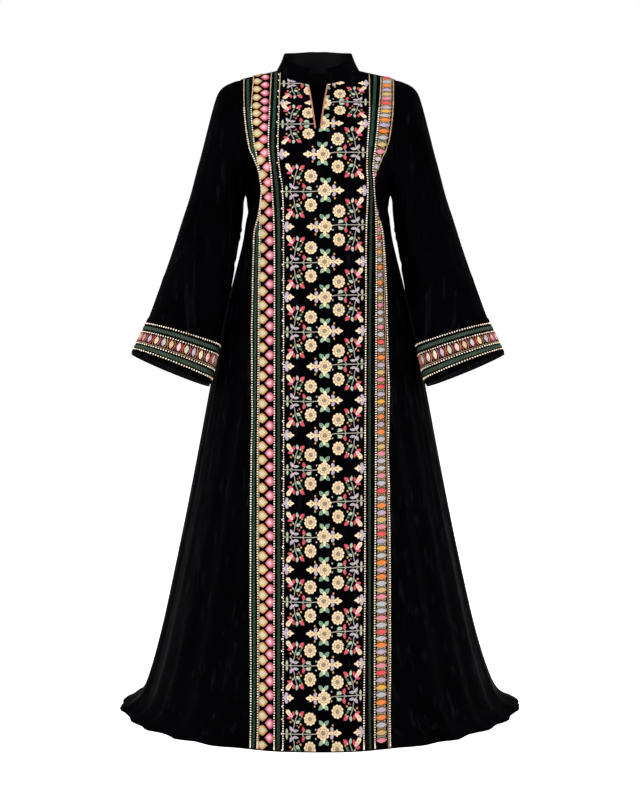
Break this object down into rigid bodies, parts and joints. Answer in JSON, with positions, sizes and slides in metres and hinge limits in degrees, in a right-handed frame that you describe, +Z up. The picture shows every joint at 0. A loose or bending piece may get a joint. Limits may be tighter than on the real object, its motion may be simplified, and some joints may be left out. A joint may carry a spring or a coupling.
{
  "type": "jalabiya dress",
  "caption": "Floor-length black velvet jalabiya held open as worn, with a floral embroidered front panel, stand collar over a short slit, and long banded sleeves.",
  "frame": {"origin": "between the shoulders at the height of the neck-shoulder point, where the wearer's shoulders carry the garment", "axes": "+Z up along the body, the front faces -Y, +X is to the viewer's right"},
  "size_m": [0.8583, 0.7552, 1.4037],
  "materials": {
    "velvet": "black cotton velvet with a faint violet sheen, satin-lined",
    "embroidered_velvet": "black velvet embroidered all over in cream, coral, sage, lilac and mustard thread between beaded borders",
    "cuff_trim": "embroidered trim of lozenges between bead lines and green ribbon",
    "piping": "rose-gold satin piping"
  },
  "bodies": {
    "root": {"front_panel": "embroidered_velvet", "side_front_left": "velvet", "side_front_right": "velvet", "back_panel": "velvet", "sleeve_left": "velvet", "sleeve_right": "velvet", "cuff_band_left": "cuff_trim", "cuff_band_right": "cuff_trim", "collar": "velvet", "slit_piping_left": "piping", "slit_piping_right": "piping"}
  },
  "joints": []
}
